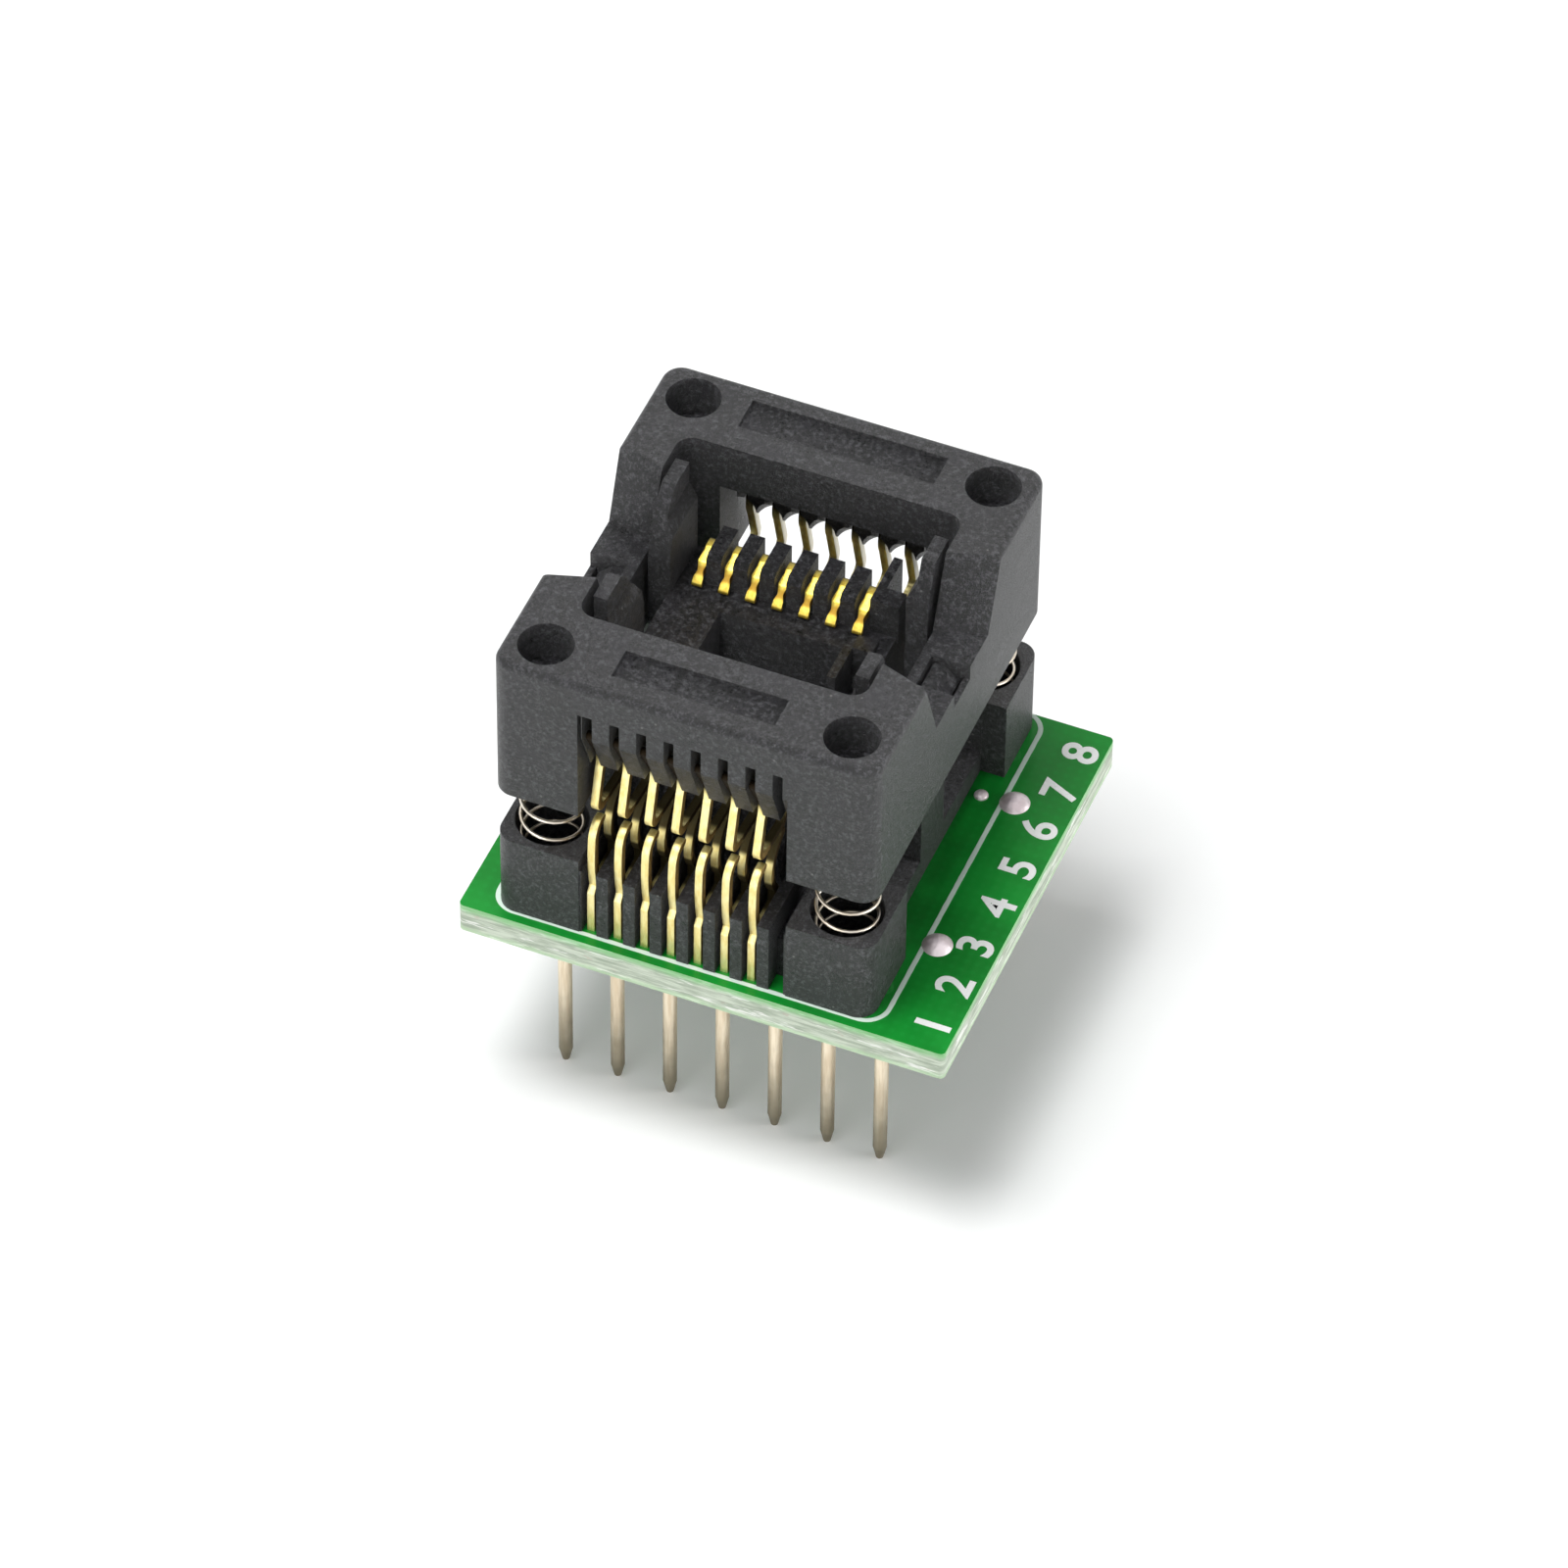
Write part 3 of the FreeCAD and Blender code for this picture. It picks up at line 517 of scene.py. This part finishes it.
def wire_tree(turns, corners):
    """Geometry Nodes: round wire wound on a spiral, from named sizes."""
    tree = bpy.data.node_groups.new("wound_wire", "GeometryNodeTree")
    tree.interface.new_socket("Geometry", in_out="OUTPUT", socket_type="NodeSocketGeometry")
    for name in ("Coil Radius", "Wire Radius", "Height"):
        tree.interface.new_socket(name, in_out="INPUT", socket_type="NodeSocketFloat")
    tree.interface.new_socket("Material", in_out="INPUT", socket_type="NodeSocketMaterial")
    nodes, link = tree.nodes, tree.links.new
    sizes = nodes.new("NodeGroupInput")
    result = nodes.new("NodeGroupOutput")
    spiral = nodes.new("GeometryNodeCurveSpiral")
    spiral.inputs["Resolution"].default_value = 28
    spiral.inputs["Rotations"].default_value = turns
    link(sizes.outputs["Coil Radius"], spiral.inputs["Start Radius"])
    link(sizes.outputs["Coil Radius"], spiral.inputs["End Radius"])
    link(sizes.outputs["Height"], spiral.inputs["Height"])
    ring = nodes.new("GeometryNodeCurvePrimitiveCircle")
    ring.inputs["Resolution"].default_value = corners
    link(sizes.outputs["Wire Radius"], ring.inputs["Radius"])
    wire = nodes.new("GeometryNodeCurveToMesh")
    wire.inputs["Fill Caps"].default_value = True
    link(spiral.outputs["Curve"], wire.inputs["Curve"])
    link(ring.outputs["Curve"], wire.inputs["Profile Curve"])
    smooth = nodes.new("GeometryNodeSetShadeSmooth")
    link(wire.outputs["Mesh"], smooth.inputs["Geometry"])
    real = nodes.new("GeometryNodeRealizeInstances")
    link(smooth.outputs["Geometry"], real.inputs["Geometry"])
    coat = nodes.new("GeometryNodeSetMaterial")
    link(real.outputs["Geometry"], coat.inputs["Geometry"])
    link(sizes.outputs["Material"], coat.inputs["Material"])
    link(coat.outputs["Geometry"], result.inputs["Geometry"])
    return tree


def set_inputs(modifier, tree, **values):
    """Sets a modifier's inputs, found by name in its tree and set by identifier."""
    for item in tree.interface.items_tree:
        if item.item_type == "SOCKET" and item.in_out == "INPUT":
            key = item.name.replace(" ", "_")
            if key in values:
                modifier[item.identifier] = values[key]


def make_springs():
    """Round-wire springs in place of the plain coils."""
    tree = wire_tree(SPRING_TURNS, 10)
    for row in ROWS:
        for side in SIDES:
            node = "spring_%s_%s" % (row, side)
            low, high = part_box(node)
            length = high.z - low.z
            obj = add_mesh("coil_%s_%s" % (row, side), bpy.data.meshes.new(node + "_wire"), WIRE)
            modifier = obj.modifiers.new("wire", "NODES")
            modifier.node_group = tree
            set_inputs(modifier, tree, Coil_Radius=SPRING_RADIUS - WIRE_RADIUS, Wire_Radius=WIRE_RADIUS,
                       Height=length - 2 * WIRE_RADIUS, Material=WIRE)
            baked(obj)
            middle_x = SOCKET_X + SIDES[side] * SPRING_X
            middle_y = SOCKET_Y + ROWS[row] * SPRING_Y
            obj.data.transform(Matrix.Translation((middle_x, middle_y, low.z + WIRE_RADIUS)))
            settle(obj, "board_and_base", "spring_steel", node)
            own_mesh(obj)


def make_small_joint():
    """The low dome of solder in the right recess, beside the base."""
    radius = 0.00034
    flatness = 0.6
    place = Vector((SOCKET_X + 0.0084, SOCKET_Y + 0.0045, BOARD_TOP))
    work = bmesh.new()
    bmesh.ops.create_uvsphere(work, u_segments=20, v_segments=12, radius=radius)
    work.transform(Matrix.Translation(place) @ Matrix.Diagonal((1, 1, flatness, 1)))
    mesh = bpy.data.meshes.new("small_joint")
    work.to_mesh(mesh)
    work.free()
    dome = add_mesh("small_joint", mesh, SOLDER)
    dome.data.shade_smooth()
    settle(dome, "board_and_base", "solder")


def dress_plain_nodes():
    """The carried-over solids whose shape is right take their finishes."""
    nodes = frame["nodes"]
    give(nodes["circuit_board"], BOARD)
    for name, node in nodes.items():
        if name.startswith("pin_") and name != "pin_solder_joints":
            give(node, PIN)
        if name.endswith("solder_joints"):
            give(node, SOLDER if name == "edge_solder_joints" else JOINT)


def make_numbers():
    """Plain printed numbers on the board's free strip."""
    count = 8
    size = 0.0023
    pitch = 0.00254
    thickness = 0.00001
    strip_x = SOCKET_X + 0.01163
    turn = Matrix.Rotation(math.radians(90), 4, "Z")
    for index in range(count):
        curve = bpy.data.curves.new("number", "FONT")
        curve.body = str(index + 1)
        curve.size = size
        curve.align_x = "CENTER"
        curve.align_y = "CENTER"
        curve.extrude = thickness
        curve.offset = 0.000045
        text = bpy.data.objects.new("number", curve)
        bpy.context.scene.collection.objects.link(text)
        bpy.context.view_layer.update()
        mesh = bpy.data.meshes.new_from_object(text.evaluated_get(bpy.context.evaluated_depsgraph_get()))
        bpy.data.objects.remove(text)
        place = Matrix.Translation((strip_x, (index - (count - 1) / 2) * pitch, BOARD_TOP + thickness))
        mesh.transform(place @ turn)
        settle(add_mesh("printed_number_%d" % (index + 1), mesh, INK), "board_and_base", "board")


def make_stage():
    """A pale floor that shows white beyond the object's shadow."""
    half = 0.6
    mesh = bpy.data.meshes.new("floor")
    corners = [(-half, -half, 0), (half, -half, 0), (half, half, 0), (-half, half, 0)]
    mesh.from_pydata(corners, [], [(0, 1, 2, 3)])
    finish = Finish("pale_floor")
    rays = finish.node("ShaderNodeLightPath").outputs
    seen = finish.math("MAXIMUM", rays["Is Camera Ray"], rays["Is Glossy Ray"])
    seen = finish.math("MAXIMUM", seen, rays["Is Transmission Ray"])
    finish.set(Base_Color=(0.93, 0.94, 0.94, 1), Roughness=0.9, Emission_Color=(1, 1, 1, 1),
               Emission_Strength=seen * 0.08)
    add_mesh("floor", mesh, finish.material)


def aim(obj, target):
    """Turns a lamp towards a place."""
    obj.rotation_mode = "QUATERNION"
    obj.rotation_quaternion = (Vector(target) - obj.location).to_track_quat("-Z", "Y")


def make_lights():
    """Three soft lamps: a key from above, one from the right and a weak one low in front."""
    target = (0, 0, 0.015)
    for name, place, size, power in (("key", (-0.07, -0.05, 0.36), 0.16, 1.15),
                                     ("side", (0.34, 0.07, 0.04), 0.2, 0.8),
                                     ("low", (-0.06, -0.34, 0.05), 0.2, 0.4)):
        lamp = bpy.data.lights.new(name, "AREA")
        lamp.size = size
        lamp.energy = power
        obj = bpy.data.objects.new(name, lamp)
        obj.location = place
        aim(obj, target)
        bpy.context.scene.collection.objects.link(obj)


def make_world():
    """Plain light all round, white where the camera sees it and where metal or gloss shows it."""
    world = bpy.data.worlds.new("studio")
    world.use_nodes = True
    bpy.context.scene.world = world
    tree = world.node_tree
    tree.nodes.clear()
    add, link = tree.nodes.new, tree.links.new
    rays = add("ShaderNodeLightPath").outputs
    seen = rays["Is Camera Ray"]
    for kind in ("Is Glossy Ray", "Is Transmission Ray"):
        either = add("ShaderNodeMath")
        either.operation = "MAXIMUM"
        link(seen, either.inputs[0])
        link(rays[kind], either.inputs[1])
        seen = either.outputs[0]
    unseen_input, seen_input, result = MIX_NUMBERS
    strength = add("ShaderNodeMix")
    link(seen, strength.inputs["Factor"])
    strength.inputs[unseen_input].default_value = 0.25
    strength.inputs[seen_input].default_value = 1.0
    light = add("ShaderNodeBackground")
    light.inputs["Color"].default_value = (1, 1, 1, 1)
    link(strength.outputs[result], light.inputs["Strength"])
    link(light.outputs[0], add("ShaderNodeOutputWorld").inputs["Surface"])


def make_camera():
    """A long lens from the front right, above, as in the photograph."""
    azimuth, elevation, roll = (math.radians(a) for a in (21.84, 46.68, 0.75))
    shift_x, shift_y, distance = 0.676 * MM, 1.156 * MM, 436.93 * MM
    right = Vector((math.cos(azimuth), math.sin(azimuth), 0))
    forward = Vector((-math.sin(azimuth) * math.cos(elevation), math.cos(azimuth) * math.cos(elevation),
                      -math.sin(elevation)))
    up = right.cross(forward)
    image_x = right * math.cos(roll) + up * math.sin(roll)
    image_y = up * math.cos(roll) - right * math.sin(roll)
    centre = Vector((SOCKET_X, SOCKET_Y, BOARD_TOP))
    camera = bpy.data.objects.new("camera", bpy.data.cameras.new("camera"))
    camera.data.sensor_width = 36
    camera.data.lens = 225
    camera.data.clip_start = 0.01
    camera.data.clip_end = 10
    place = centre + image_x * shift_x + image_y * shift_y - forward * distance
    turn = Matrix((image_x, image_y, -forward)).transposed().to_4x4()
    camera.matrix_world = Matrix.Translation(place) @ turn
    bpy.context.scene.collection.objects.link(camera)
    bpy.context.scene.camera = camera


make_mouldings()
make_contacts()
make_springs()
make_small_joint()
dress_plain_nodes()
make_numbers()
make_stage()
make_lights()
make_world()
make_camera()
bpy.context.scene.view_settings.view_transform = "Standard"
